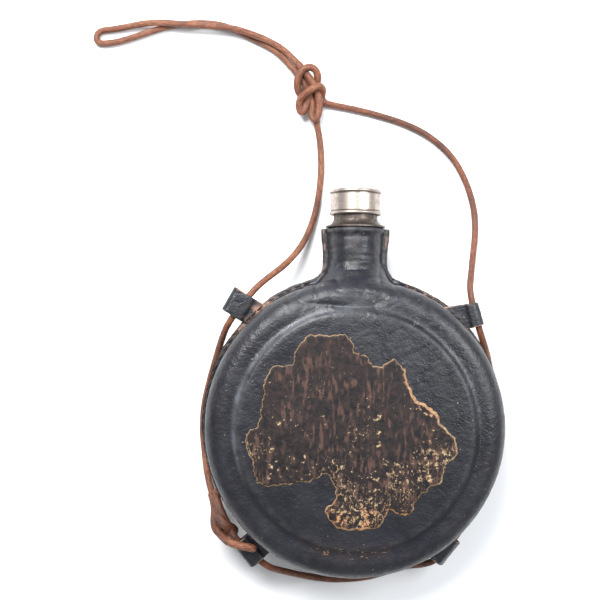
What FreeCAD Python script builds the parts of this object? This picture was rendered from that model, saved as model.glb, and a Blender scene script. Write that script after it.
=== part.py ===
import FreeCAD, Part
import math
import os

# Leather-covered round flask with a screw cap, four strap loops and a carrying lace.
# The flask lies on its back.  Origin: centre of the flat back, on the resting surface.
# +Z points up through the front face, +Y points to the cap, units are millimetres.

os.makedirs("parts", exist_ok=True)

V = FreeCAD.Vector
X_AXIS = V(1, 0, 0)
Y_AXIS = V(0, 1, 0)
Z_AXIS = V(0, 0, 1)
ORIGIN = V(0, 0, 0)

# ---------------------------------------------------------------- flask body
WALL_R = 84.0            # leather-covered side wall
BACK_ROUND = 12.0        # rounding between the flat back and the wall
WALL_TOP_Z = 41.0        # height where the front rounding starts
FRONT_ROUND = 11.0       # rounding between the wall and the front ring
RING_Z = WALL_TOP_Z + FRONT_ROUND
RING_IN_R = 69.0         # inner end of the flat ring around the raised disc
DISC_RISE = 2.5          # how far the raised disc stands above the ring
STEP_R = 3.2             # both radii of the rounded step
STEP_R_MIN = 0.6         # smallest inner radius of the step
DOME_RISE = 1.0          # crown of the raised disc
SEAM_Z = 26.0            # plane of the seam and of the neck axis

LEATHER = 1.5            # thickness of the moulded leather
GLASS_GAP = 0.1          # play between glass and leather
GLASS_WALL = 3.0

# ---------------------------------------------------------------------- neck
NECK_R = 15.3            # outside of the leather on the neck
NECK_START_Y = 60.0      # hidden inside the body
TRUMPET_R = 22.0         # concave blend from the neck into the body
TRUMPET_TOP_Y = 97.0
TRUMPET_LOW_Y = 80.0
LIP_START_Y = 106.0
LIP_R = 16.3
LEATHER_TOP_Y = 113.0
GLASS_SHOULDER_Y = 112.0
GLASS_FINISH_R = 10.0    # glass inside the metal collar
GLASS_BORE_R = 10.2
GLASS_MOUTH_R = 7.5
BORE_TAPER_Y = (100.0, 110.0)
MOUTH_Y = 132.0

# --------------------------------------------------------------- seam flange
FLANGE_R = 87.2
FLANGE_PLY = 1.3
WING_BASE_HALF = 19.2
WING_WAIST_HALF = 18.8
WING_WAIST_Y = 97.0
WING_TOP_HALF = 20.2
WING_TOP_Y = 112.6
WING_FILLET = 9.0
STITCH_LEN = 3.4
STITCH_W = 0.7
STITCH_H = 0.4
STITCH_PITCH = 5.6
STITCH_LINE_R = 85.8
LOOP_CLEARANCE_DEG = 8.0
NECK_CLEARANCE_DEG = 18.0

# -------------------------------------------------------- collar, cap, thread
COLLAR_BORE_R = 10.1
COLLAR_SEAT_R = 13.5
COLLAR_SKIRT_R = 17.0
COLLAR_SKIRT_Y = 113.2
COLLAR_SKIRT_EDGE = 0.8
COLLAR_FLARE_Y = 117.8
COLLAR_FLARE_MID = (13.76, 115.5)    # radius and height where the flare bows in
COLLAR_PLAIN_R = 12.5
COLLAR_LEDGE_Y = 120.2
THREAD_ROOT_R = 11.7
THREAD_CREST_R = 12.7
THREAD_PITCH = 4.0
THREAD_FOOT = 1.5
THREAD_TIP = 0.7
THREAD_BED = 0.3         # how deep a thread ridge is rooted in its wall
COLLAR_THREAD_Y = 122.2
COLLAR_THREAD_LEN = 8.0
CAP_LOW_Y = 120.4
CAP_TOP_Y = 134.8
CAP_R = 14.4
CAP_BORE_R = 13.2
CAP_THREAD_R = 12.1
CAP_THREAD_Y = 124.2
CAP_THREAD_LEN = 6.0
CAP_PLATE = 1.0
BEAD_R = 0.9
CAP_BEAD_Y = (121.3, 133.6)
CORK_R = 12.7
CORK_Y = (132.3, 133.7)

# ---------------------------------------------------------------- strap loops
STRAP_PLY = 1.2
STRAP_WIDE_HALF = 2.6    # half gap between the plies where the lace runs
STRAP_NARROW_HALF = 1.35  # half gap where the plies grip the flange
STRAP_TAPER = 2.0
STRAP_LENGTH = 26.0
STRAP_WIDTH = 40.0
STRAP_ROOT_R = 84.15
BENT_STRAP_WIDTH = 17.0
BENT_START = 85.4        # distance from the axis where the drooping loop turns down
BENT_RADIUS = 3.0
BENT_ANGLE = 85.0
BENT_LENGTH = 9.4
BENT_OUTWARD_DEG = -38.2
BENT_SIDE = -23.5
BENT_ROOT = 78.0

# corners seen from above: outer edge start and end, root end and start
LOOP_CORNERS = {
    "loop_upper_left": ((-69.2, 78.8), (-76.5, 65.7), (-56.0, 53.0), (-48.6, 66.5)),
    "loop_upper_right": ((74.9, 58.5), (71.1, 71.3), (48.0, 67.7), (57.5, 53.0)),
    "loop_lower_left": ((-68.3, -70.5), (-57.6, -83.0), (-44.7, -72.0), (-54.6, -58.8)),
}
LOOP_NARROW_FROM = {
    "loop_upper_left": 14.6,
    "loop_upper_right": 8.6,
    "loop_lower_left": 10.8,
}
LOOP_ANGLES = (132.4, 46.5, -127.7, -54.2)

# ------------------------------------------------------------ lace and knots
LACE_D = 3.8
LACE_R = LACE_D / 2
LACE_CORNER = 0.45       # share of the shorter run that an arc may use

LACE_LEFT = [
    (-25.5, 188.5, 5.5), (-22.3, 177.0, 3.0), (-19.9, 163.0, 2.0),
    (-19.4, 147.0, 2.1), (-21.2, 131.0, 2.0), (-24.6, 117.0, 3.0),
    (-30.5, 103.5, 7.5), (-39.5, 92.5, 15.0), (-49.5, 84.5, 21.8),
    (-57.8, 77.4, 26.4), (-72.4, 58.4, 26.2), (-77.3, 47.2, 15.5),
    (-81.5, 34.5, 6.5), (-85.3, 21.5, 2.4), (-88.4, 8.0, 2.0),
    (-89.2, -6.0, 2.1), (-87.6, -20.0, 2.6), (-85.6, -32.5, 7.0),
    (-82.0, -43.5, 13.5), (-77.6, -52.8, 18.5), (-74.8, -59.0, 19.5),
]

LACE_RIGHT = [
    (-25.2, 191.1, 4.5), (-12.5, 188.4, 2.4), (0.8, 186.1, 2.0),
    (14.0, 182.9, 2.1), (27.5, 179.0, 2.0), (40.0, 173.7, 2.1),
    (51.0, 166.4, 2.0), (60.5, 156.6, 2.1), (67.8, 143.2, 2.0),
    (72.5, 128.0, 2.2), (73.2, 113.0, 3.8), (70.8, 99.8, 9.8),
    (68.4, 88.6, 18.4), (65.9, 76.6, 26.3), (72.6, 53.4, 26.3),
    (77.2, 44.0, 18.8), (81.4, 32.8, 10.4), (84.8, 19.6, 3.4),
    (86.6, 5.0, 2.0), (86.8, -10.5, 2.1), (83.8, -26.5, 2.2),
    (78.2, -40.6, 5.6), (71.0, -53.6, 12.2), (62.6, -64.3, 17.4),
    (50.2, -80.1, 17.2), (42.6, -84.2, 11.8), (33.0, -86.8, 4.8),
    (22.0, -91.5, 2.1), (9.0, -95.0, 2.1), (-6.0, -96.4, 2.0),
    (-18.5, -95.2, 3.4), (-29.6, -91.9, 8.4), (-40.3, -87.4, 16.4),
    (-50.0, -82.2, 25.4), (-68.0, -65.2, 26.2), (-76.6, -58.6, 20.6),
]

LACE_CARRY = [
    (-29.6, 206.8, 6.4), (-37.4, 216.4, 4.8), (-47.0, 223.9, 4.9),
    (-60.0, 229.1, 6.2), (-73.5, 233.2, 6.4), (-88.0, 234.3, 6.2),
    (-103.0, 234.9, 6.4), (-117.5, 236.2, 6.0), (-131.0, 235.3, 3.6),
    (-143.5, 232.8, 2.1), (-155.0, 231.7, 2.0), (-155.7, 223.6, 2.1),
    (-144.0, 224.6, 2.0), (-131.5, 228.4, 2.1), (-118.0, 233.4, 2.0),
    (-103.5, 236.5, 2.1), (-89.0, 237.3, 2.0), (-75.0, 234.8, 2.1),
    (-61.8, 228.0, 2.0), (-51.2, 221.0, 2.2), (-42.6, 212.6, 3.0),
    (-34.6, 203.0, 4.6),
]

TAIL_SHORT = [
    (-73.8, -57.6, 21.0), (-75.2, -49.5, 20.4), (-77.4, -41.0, 17.4),
]

TAIL_LONG = [
    (-77.0, -63.6, 22.6), (-72.4, -66.8, 30.2),
    (-64.8, -68.6, 34.0), (-56.4, -70.0, 33.4),
]

UPPER_KNOT = dict(centre=(-26.8, 194.3, 6.1), half=(8.6, 17.4, 6.0), turn=10.0)
LOWER_KNOT = dict(centre=(-74.6, -59.8, 19.6), half=(7.6, 9.0, 6.2), turn=20.0)

# ----------------------------------------------------------------- front label
LABEL_T = 0.25
LABEL_POINTS = [
    (-25.8, 52.7), (-6.9, 53.1), (-1.5, 43.2), (8.5, 35.5), (20.1, 40.3),
    (26.7, 33.0), (32.6, 16.9), (44.2, 10.4), (54.5, -3.5), (54.9, -10.8),
    (49.3, -18.1), (46.4, -29.1), (35.5, -34.9), (31.1, -44.4), (26.7, -46.6),
    (18.7, -42.2), (12.1, -53.1), (-9.1, -53.1), (-16.4, -43.7), (-9.8, -37.1),
    (-14.9, -23.9), (-24.4, -27.6), (-47.7, -30.5), (-53.6, -29.1), (-56.5, -16.6),
    (-60.2, -7.9), (-60.2, -1.3), (-53.6, 1.6), (-50.4, 27.2), (-46.3, 34.5),
    (-34.6, 35.9), (-34.6, 43.2),
]


def export(name, shape):
    """Write one sub-part and report its size."""
    bad = "" if shape.isValid() else "  INVALID"
    print("%-22s solids %3d  volume %11.2f%s" % (name, len(shape.Solids), shape.Volume, bad))
    shape.exportStep("parts/%s.step" % name)


def segment(a, b):
    return Part.LineSegment(V(*a), V(*b)).toShape()


def arc(a, mid, b):
    return Part.Arc(V(*a), V(*mid), V(*b)).toShape()


def polar(centre, radius, angle_deg):
    """Point on a circle in the X-Z plane."""
    a = math.radians(angle_deg)
    return (centre[0] + radius * math.cos(a), 0.0, centre[1] + radius * math.sin(a))


def face_of(edges):
    return Part.Face(Part.Wire(edges))


# ------------------------------------------------------------------ flask body
def lens(inset):
    """Round body, every surface moved inwards by `inset`."""
    high = max(STEP_R - inset, STEP_R_MIN)
    low = 2 * STEP_R - high
    turn = math.degrees(math.acos(1 - DISC_RISE / (2 * STEP_R)))
    run = 2 * STEP_R * math.sin(math.radians(turn))
    wall = WALL_R - inset
    ring = RING_Z - inset
    disc = ring + DISC_RISE
    disc_r = RING_IN_R - run
    back_centre = (WALL_R - BACK_ROUND, BACK_ROUND)
    front_centre = (WALL_R - FRONT_ROUND, WALL_TOP_Z)
    back_radius = BACK_ROUND - inset
    front_radius = FRONT_ROUND - inset
    low_centre = (RING_IN_R, ring + low)
    high_centre = (disc_r, disc - high)
    crown = (disc_r ** 2 + DOME_RISE ** 2) / (2 * DOME_RISE)
    half_r = disc_r / 2
    half_z = disc + DOME_RISE - crown + math.sqrt(crown ** 2 - half_r ** 2)
    step_mid = polar(low_centre, low, 270 - turn)
    edges = [
        segment((0, 0, inset), (back_centre[0], 0, inset)),
        arc((back_centre[0], 0, inset), polar(back_centre, back_radius, -45), (wall, 0, BACK_ROUND)),
        segment((wall, 0, BACK_ROUND), (wall, 0, WALL_TOP_Z)),
        arc((wall, 0, WALL_TOP_Z), polar(front_centre, front_radius, 45), (front_centre[0], 0, ring)),
        segment((front_centre[0], 0, ring), (RING_IN_R, 0, ring)),
        arc((RING_IN_R, 0, ring), polar(low_centre, low, 270 - turn / 2), step_mid),
        arc(step_mid, polar(high_centre, high, 90 - turn / 2), (disc_r, 0, disc)),
        arc((disc_r, 0, disc), (half_r, 0, half_z), (0, 0, disc + DOME_RISE)),
        segment((0, 0, disc + DOME_RISE), (0, 0, inset)),
    ]
    return face_of(edges).revolve(ORIGIN, Z_AXIS, 360)


def neck_turned(points_and_arcs):
    """Solid of revolution about the neck axis from edges in the X-Y plane."""
    solid = face_of(points_and_arcs).revolve(ORIGIN, Y_AXIS, 360)
    return solid.translated(V(0, 0, SEAM_Z))


def neck(inset, top_y, lip_r):
    """Neck with its trumpet-shaped foot, moved inwards by `inset`."""
    centre_r = NECK_R + TRUMPET_R
    radius = TRUMPET_R + inset
    drop = TRUMPET_TOP_Y - TRUMPET_LOW_Y
    low_angle = math.asin(drop / TRUMPET_R)
    mid_angle = low_angle / 2

    def on_trumpet(angle):
        return (centre_r - radius * math.cos(angle), TRUMPET_TOP_Y - radius * math.sin(angle), 0)

    foot = on_trumpet(low_angle)
    straight = NECK_R - inset
    edges = [
        segment((0, NECK_START_Y, 0), (foot[0], NECK_START_Y, 0)),
        segment((foot[0], NECK_START_Y, 0), foot),
        arc(foot, on_trumpet(mid_angle), (straight, TRUMPET_TOP_Y, 0)),
        segment((straight, TRUMPET_TOP_Y, 0), (straight, LIP_START_Y, 0)),
        segment((straight, LIP_START_Y, 0), (lip_r, top_y, 0)),
        segment((lip_r, top_y, 0), (0, top_y, 0)),
        segment((0, top_y, 0), (0, NECK_START_Y, 0)),
    ]
    return neck_turned(edges)


def flange(z_low):
    """One ply of the seam flange with the two wings beside the neck."""
    disc = Part.makeCylinder(FLANGE_R, FLANGE_PLY, V(0, 0, z_low))
    right = [
        (WING_BASE_HALF, NECK_START_Y), (WING_WAIST_HALF, WING_WAIST_Y),
        (WING_TOP_HALF, WING_TOP_Y),
    ]
    left = [(-x, y) for x, y in reversed(right)]
    outline = [V(x, y, z_low) for x, y in right + left]
    wings = Part.Face(Part.makePolygon(outline + outline[:1])).extrude(V(0, 0, FLANGE_PLY))
    plate = disc.fuse(wings).removeSplitter()
    corners = [
        e for e in plate.Edges
        if abs(e.tangentAt(e.FirstParameter).z) > 0.9
        and NECK_START_Y < e.CenterOfMass.y < WING_WAIST_Y - 1
    ]
    return plate.makeFillet(WING_FILLET, corners)


def half_space(z_low, z_high):
    side = 4 * WALL_R
    return Part.makeBox(side, side, z_high - z_low, V(-side / 2, -side / 2, z_low))


outer_form = lens(0).fuse(neck(0, LEATHER_TOP_Y, LIP_R))
cavity = lens(LEATHER).fuse(neck(LEATHER, LEATHER_TOP_Y, NECK_R - LEATHER))

front_half = outer_form.common(half_space(SEAM_Z, 2 * RING_Z))
cover_front = front_half.fuse(flange(SEAM_Z)).cut(cavity).removeSplitter()
back_half = outer_form.common(half_space(-SEAM_Z, SEAM_Z))
cover_back = back_half.fuse(flange(SEAM_Z - FLANGE_PLY)).cut(cavity).removeSplitter()
export("cover_front", cover_front)
export("cover_back", cover_back)


# ---------------------------------------------------------------- glass bottle
def glass_bottle():
    skin = LEATHER + GLASS_GAP
    outside = lens(skin).fuse(neck(skin, GLASS_SHOULDER_Y, NECK_R - skin))
    finish_len = MOUTH_Y - NECK_START_Y
    finish = Part.makeCylinder(GLASS_FINISH_R, finish_len, V(0, NECK_START_Y, SEAM_Z), Y_AXIS)
    bore = neck_turned([
        segment((0, NECK_START_Y, 0), (GLASS_BORE_R, NECK_START_Y, 0)),
        segment((GLASS_BORE_R, NECK_START_Y, 0), (GLASS_BORE_R, BORE_TAPER_Y[0], 0)),
        segment((GLASS_BORE_R, BORE_TAPER_Y[0], 0), (GLASS_MOUTH_R, BORE_TAPER_Y[1], 0)),
        segment((GLASS_MOUTH_R, BORE_TAPER_Y[1], 0), (GLASS_MOUTH_R, MOUTH_Y, 0)),
        segment((GLASS_MOUTH_R, MOUTH_Y, 0), (0, MOUTH_Y, 0)),
        segment((0, MOUTH_Y, 0), (0, NECK_START_Y, 0)),
    ])
    hollow = lens(skin + GLASS_WALL).fuse(bore)
    return outside.fuse(finish).cut(hollow).removeSplitter()


export("glass_bottle", glass_bottle())


# ----------------------------------------------------------- collar, cap, cork
def helix_ridge(wall_r, crest_r, start_y, length):
    """Helical thread ridge about the neck axis; it rises with a right-hand turn."""
    inward = 1 if crest_r > wall_r else -1
    bed_r = wall_r - inward * THREAD_BED
    helix = Part.makeHelix(THREAD_PITCH, length, wall_r)
    corners = [
        V(bed_r, 0, -THREAD_FOOT / 2), V(crest_r, 0, -THREAD_TIP / 2),
        V(crest_r, 0, THREAD_TIP / 2), V(bed_r, 0, THREAD_FOOT / 2),
    ]
    profile = Part.makePolygon(corners + corners[:1])
    ridge = Part.Wire(helix.Edges).makePipeShell([profile], True, True)
    ridge.rotate(ORIGIN, X_AXIS, -90)
    ridge.translate(V(0, start_y, SEAM_Z))
    return ridge


def neck_collar():
    skirt_top_y = COLLAR_SKIRT_Y + COLLAR_SKIRT_EDGE
    skirt_edge = (COLLAR_SKIRT_R, skirt_top_y, 0)
    flare_mid = (COLLAR_FLARE_MID[0], COLLAR_FLARE_MID[1], 0)
    flare_top = (COLLAR_PLAIN_R, COLLAR_FLARE_Y, 0)
    edges = [
        segment((COLLAR_BORE_R, GLASS_SHOULDER_Y, 0), (COLLAR_SEAT_R, GLASS_SHOULDER_Y, 0)),
        segment((COLLAR_SEAT_R, GLASS_SHOULDER_Y, 0), (COLLAR_SEAT_R, COLLAR_SKIRT_Y, 0)),
        segment((COLLAR_SEAT_R, COLLAR_SKIRT_Y, 0), (COLLAR_SKIRT_R, COLLAR_SKIRT_Y, 0)),
        segment((COLLAR_SKIRT_R, COLLAR_SKIRT_Y, 0), skirt_edge),
        arc(skirt_edge, flare_mid, flare_top),
        segment(flare_top, (COLLAR_PLAIN_R, COLLAR_LEDGE_Y, 0)),
        segment((COLLAR_PLAIN_R, COLLAR_LEDGE_Y, 0), (THREAD_ROOT_R, COLLAR_LEDGE_Y, 0)),
        segment((THREAD_ROOT_R, COLLAR_LEDGE_Y, 0), (THREAD_ROOT_R, MOUTH_Y, 0)),
        segment((THREAD_ROOT_R, MOUTH_Y, 0), (COLLAR_BORE_R, MOUTH_Y, 0)),
        segment((COLLAR_BORE_R, MOUTH_Y, 0), (COLLAR_BORE_R, GLASS_SHOULDER_Y, 0)),
    ]
    ridge = helix_ridge(THREAD_ROOT_R, THREAD_CREST_R, COLLAR_THREAD_Y, COLLAR_THREAD_LEN)
    return neck_turned(edges).fuse(ridge)


def screw_cap():
    height = CAP_TOP_Y - CAP_LOW_Y
    cup = Part.makeCylinder(CAP_R, height, V(0, CAP_LOW_Y, SEAM_Z), Y_AXIS)
    for bead_y in CAP_BEAD_Y:
        bead = Part.makeTorus(CAP_R - 0.1, BEAD_R, V(0, bead_y, SEAM_Z), Y_AXIS)
        cup = cup.fuse(bead)
    bore = Part.makeCylinder(CAP_BORE_R, height - CAP_PLATE, V(0, CAP_LOW_Y, SEAM_Z), Y_AXIS)
    cup = cup.cut(bore).removeSplitter()
    ridge = helix_ridge(CAP_BORE_R, CAP_THREAD_R, CAP_THREAD_Y, CAP_THREAD_LEN)
    return cup.fuse(ridge)


export("neck_collar", neck_collar())
export("screw_cap", screw_cap())
cork = Part.makeCylinder(CORK_R, CORK_Y[1] - CORK_Y[0], V(0, CORK_Y[0], SEAM_Z), Y_AXIS)
export("cork_seal", cork)


# ----------------------------------------------------------------- strap loops
def strap_section(narrow_from, length, grow):
    """Closed outline of the folded strap in local X-Z; `grow` adds the leather ply."""
    wide = STRAP_WIDE_HALF + grow
    narrow = STRAP_NARROW_HALF + grow
    centre = STRAP_WIDE_HALF + STRAP_PLY
    taper_from = narrow_from - STRAP_TAPER
    edges = [
        arc((centre, 0, wide), (centre - wide, 0, 0), (centre, 0, -wide)),
        segment((centre, 0, -wide), (taper_from, 0, -wide)),
        segment((taper_from, 0, -wide), (narrow_from, 0, -narrow)),
        segment((narrow_from, 0, -narrow), (length, 0, -narrow)),
        segment((length, 0, -narrow), (length, 0, narrow)),
        segment((length, 0, narrow), (narrow_from, 0, narrow)),
        segment((narrow_from, 0, narrow), (taper_from, 0, wide)),
        segment((taper_from, 0, wide), (centre, 0, wide)),
    ]
    return face_of(edges)


def strap(narrow_from, length, width):
    """Folded strap: fold at local X = 0, open end at X = length, centred on Y."""
    section = strap_section(narrow_from, length, STRAP_PLY).cut(strap_section(narrow_from, length, 0))
    return section.extrude(V(0, width, 0)).translated(V(0, -width / 2, 0))


def flat_loop(name):
    """Strap loop that stands straight out from the flange."""
    corners = [V(x, y, 0) for x, y in LOOP_CORNERS[name]]
    edge = corners[1] - corners[0]
    middle = (corners[0] + corners[1]) * 0.5
    inward = math.degrees(math.atan2(edge.y, edge.x)) + 90
    loop = strap(LOOP_NARROW_FROM[name], STRAP_LENGTH, STRAP_WIDTH)
    loop.rotate(ORIGIN, Z_AXIS, inward)
    loop.translate(V(middle.x, middle.y, SEAM_Z))
    outline = Part.Face(Part.makePolygon(corners + corners[:1])).extrude(V(0, 0, 2 * SEAM_Z))
    wall = Part.makeCylinder(STRAP_ROOT_R, 2 * SEAM_Z)
    return loop.common(outline).cut(wall)


def ply_pair(x_low, x_high, width):
    """Upper and lower ply of the gripping part of a strap."""
    length = x_high - x_low
    upper = Part.makeBox(length, width, STRAP_PLY, V(x_low, -width / 2, STRAP_NARROW_HALF))
    lower = Part.makeBox(length, width, STRAP_PLY, V(x_low, -width / 2, -STRAP_NARROW_HALF - STRAP_PLY))
    return [upper, lower]


def bent_loop():
    """Strap loop that droops behind the rim."""
    width = BENT_STRAP_WIDTH
    pieces = ply_pair(BENT_ROOT, BENT_START, width)
    pivot = V(BENT_START, 0, -BENT_RADIUS)
    for z_mid in (STRAP_NARROW_HALF, -STRAP_NARROW_HALF - STRAP_PLY):
        corners = [
            V(BENT_START, -width / 2, z_mid), V(BENT_START, width / 2, z_mid),
            V(BENT_START, width / 2, z_mid + STRAP_PLY), V(BENT_START, -width / 2, z_mid + STRAP_PLY),
        ]
        end_face = Part.Face(Part.makePolygon(corners + corners[:1]))
        pieces.append(end_face.revolve(pivot, Y_AXIS, BENT_ANGLE))
    hanging = strap(BENT_LENGTH, BENT_LENGTH + STRAP_PLY, width)
    hanging.rotate(ORIGIN, Z_AXIS, 180)
    hanging.translate(V(BENT_START + BENT_LENGTH + STRAP_PLY, 0, 0))
    hanging.rotate(pivot, Y_AXIS, BENT_ANGLE)
    loop = pieces[0].fuse(pieces[1:] + [hanging]).removeSplitter()
    loop.translate(V(0, BENT_SIDE, SEAM_Z))
    loop.rotate(ORIGIN, Z_AXIS, BENT_OUTWARD_DEG)
    wall = Part.makeCylinder(STRAP_ROOT_R, 2 * SEAM_Z)
    return loop.cut(wall)


loops = {name: flat_loop(name) for name in LOOP_CORNERS}
loops["loop_lower_right"] = bent_loop()
for name, loop in loops.items():
    export(name, loop)


# -------------------------------------------------------------------- stitches
def stitch(radius, angle_deg, z_low):
    bar = Part.makeBox(STITCH_W, STITCH_LEN, STITCH_H, V(radius - STITCH_W / 2, -STITCH_LEN / 2, z_low))
    bar.rotate(ORIGIN, Z_AXIS, angle_deg)
    return bar


def clear_of(angle_deg, centre_deg, half_deg):
    away = (angle_deg - centre_deg + 180) % 360 - 180
    return abs(away) > half_deg


def seam_stitches(z_low):
    """Stitches around the flange, left out below the loops and the neck."""
    count = int(2 * math.pi * STITCH_LINE_R / STITCH_PITCH)
    angles = [360.0 * i / count for i in range(count)]
    bars = []
    for angle in angles:
        free_of_loops = all(clear_of(angle, at, LOOP_CLEARANCE_DEG) for at in LOOP_ANGLES)
        if free_of_loops and clear_of(angle, 90, NECK_CLEARANCE_DEG):
            bars.append(stitch(STITCH_LINE_R, angle, z_low))
    return Part.makeCompound(bars)


export("seam_stitches_front", seam_stitches(SEAM_Z + FLANGE_PLY))
export("seam_stitches_back", seam_stitches(SEAM_Z - FLANGE_PLY - STITCH_H))

loop_bars = []
strap_top = STRAP_NARROW_HALF + STRAP_PLY
for angle in LOOP_ANGLES:
    for step in (-3.0, 0.0, 3.0):
        loop_bars.append(stitch(STITCH_LINE_R, angle + step, SEAM_Z + strap_top))
        loop_bars.append(stitch(STITCH_LINE_R, angle + step, SEAM_Z - strap_top - STITCH_H))
export("loop_stitches", Part.makeCompound(loop_bars))


# ----------------------------------------------------------------- front label
def front_label():
    outline = [V(x, y, RING_Z) for x, y in LABEL_POINTS]
    prism = Part.Face(Part.makePolygon(outline + outline[:1])).extrude(V(0, 0, SEAM_Z))
    return lens(0).translated(V(0, 0, LABEL_T)).common(prism).cut(lens(0))


export("front_label", front_label())


# -------------------------------------------------------------- lace and knots
def lace_route(points):
    """Straight runs joined by tangent arcs; returns the wire and its arc radii."""
    pts = [V(*p) for p in points]
    edges = []
    radii = []
    start = pts[0]
    for before, corner, after in zip(pts, pts[1:], pts[2:]):
        into = corner - before
        out = after - corner
        reach = LACE_CORNER * min(into.Length, out.Length)
        turn = into.getAngle(out)
        radius = reach / math.tan(turn / 2)
        into.normalize()
        out.normalize()
        begin = corner - into * reach
        end = corner + out * reach
        bisector = out - into
        bisector.normalize()
        sagitta = radius / math.cos(turn / 2) - radius
        middle = corner + bisector * sagitta
        edges.append(Part.LineSegment(start, begin).toShape())
        edges.append(Part.Arc(begin, middle, end).toShape())
        radii.append(radius)
        start = end
    edges.append(Part.LineSegment(start, pts[-1]).toShape())
    return Part.Wire(edges), radii


def lace(name, points):
    wire, radii = lace_route(points)
    along = wire.Edges[0].tangentAt(wire.Edges[0].FirstParameter)
    ring = Part.Wire(Part.Circle(V(*points[0]), along, LACE_R).toShape())
    tube = wire.makePipeShell([ring], True, False)
    expected = math.pi * LACE_R ** 2 * wire.Length
    print("%-18s length %7.1f  tube/expected %.4f" % (name, wire.Length, tube.Volume / expected))
    print("   radii", " ".join("%.0f" % r for r in radii))
    return tube


def knot(centre, half, turn):
    """Outer shape of a tied knot."""
    scale = FreeCAD.Matrix()
    scale.scale(V(*half))
    solid = Part.makeSphere(1.0).transformGeometry(scale)
    solid.rotate(ORIGIN, Z_AXIS, turn)
    return solid.translated(V(*centre))


upper_knot = knot(**UPPER_KNOT)
lower_knot = knot(**LOWER_KNOT)
export("upper_knot", upper_knot)
export("lower_knot", lower_knot)

LACES = {
    "lace_left": LACE_LEFT,
    "lace_right": LACE_RIGHT,
    "lace_carry_loop": LACE_CARRY,
    "lace_tail_short": TAIL_SHORT,
    "lace_tail_long": TAIL_LONG,
}
for name, points in LACES.items():
    tube = lace(name, points).cut(upper_knot).cut(lower_knot)
    export(name, tube)
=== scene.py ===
import itertools
import math

import bpy
import numpy as np
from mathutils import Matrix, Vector
from mathutils.bvhtree import BVHTree
from mathutils.geometry import delaunay_2d_cdt


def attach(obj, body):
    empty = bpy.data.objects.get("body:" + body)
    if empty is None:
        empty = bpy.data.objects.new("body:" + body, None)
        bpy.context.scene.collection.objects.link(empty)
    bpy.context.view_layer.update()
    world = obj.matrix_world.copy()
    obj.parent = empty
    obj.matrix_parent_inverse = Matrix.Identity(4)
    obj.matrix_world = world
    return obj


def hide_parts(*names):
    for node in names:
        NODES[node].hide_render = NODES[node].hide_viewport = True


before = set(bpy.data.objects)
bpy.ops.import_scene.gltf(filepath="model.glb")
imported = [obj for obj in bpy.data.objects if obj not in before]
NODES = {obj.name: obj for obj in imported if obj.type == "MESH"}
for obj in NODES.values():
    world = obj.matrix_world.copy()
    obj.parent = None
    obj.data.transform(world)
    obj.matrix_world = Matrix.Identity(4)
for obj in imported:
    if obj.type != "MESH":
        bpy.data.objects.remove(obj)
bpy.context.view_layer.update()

# Lengths are in millimetres and become metres where a mesh or a light is made.
MM = 0.001
ROOT = "bottle"


# ------------------------------------------------------------ camera and light
# The photograph looks straight down on the flask. Places are in metres.
CAMERA_PLACE = (-0.0314, 0.0713, 0.576)
CAMERA_TURN_DEG = 0.65
CAMERA_LENS = 57.318
SENSOR_WIDTH = 36.0
CLIP_START = 0.01
# name, place, target, power in watts, colour
LAMPS = (
    ("key_light", (-0.26, 0.56, 0.72), (0, 0.06, 0.03), 14.5, (0.975, 0.985, 1.0)),
    ("fill_light", (0.48, 0.26, 0.70), (0.02, 0.02, 0.03), 6.0, (0.94, 0.97, 1.0)),
)
LAMP_SIZE = 0.42
SKY_COLOUR = (0.93, 0.96, 1.0, 1)
SKY_STRENGTH = 0.50


def make_camera():
    data = bpy.data.cameras.new("camera")
    data.sensor_width = SENSOR_WIDTH
    data.lens = CAMERA_LENS
    data.clip_start = CLIP_START
    camera = bpy.data.objects.new("camera", data)
    camera.location = CAMERA_PLACE
    camera.rotation_euler = (0, 0, math.radians(CAMERA_TURN_DEG))
    bpy.context.collection.objects.link(camera)
    bpy.context.scene.camera = camera


def make_area(name, place, target, power, colour):
    data = bpy.data.lights.new(name, "AREA")
    data.size = LAMP_SIZE
    data.energy = power
    data.color = colour
    lamp = bpy.data.objects.new(name, data)
    lamp.location = place
    aim = Vector(target) - Vector(place)
    lamp.rotation_euler = aim.to_track_quat("-Z", "Y").to_euler()
    bpy.context.collection.objects.link(lamp)


def make_studio():
    for lamp in LAMPS:
        make_area(*lamp)
    world = bpy.data.worlds.new("studio")
    world.use_nodes = True
    background = world.node_tree.nodes["Background"]
    background.inputs["Color"].default_value = SKY_COLOUR
    background.inputs["Strength"].default_value = SKY_STRENGTH
    bpy.context.scene.world = world
    bpy.context.scene.view_settings.view_transform = "Standard"


make_camera()
make_studio()


# ----------------------------------------------------------------------- noise
# Large primes that scatter neighbouring cells, and the mask that keeps 32 bits.
CELL_PRIMES = (73856093, 19349663, 83492791)
SEED_PRIME = 2654435761
MIX_PRIMES = ((15, 2246822519), (13, 3266489917))
LOW_32 = 0xFFFFFFFF


def lattice_value(cell, seed):
    """Repeatable value from -1 to 1 for each whole-number cell."""
    first, second, third = CELL_PRIMES
    key = cell[:, 0] * first ^ cell[:, 1] * second ^ cell[:, 2] * third
    key = (key ^ seed * SEED_PRIME) & LOW_32
    for shift, prime in MIX_PRIMES:
        key = ((key ^ (key >> shift)) * prime) & LOW_32
    return (key >> 8 & 0xFFFF) / 32767.5 - 1


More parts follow.
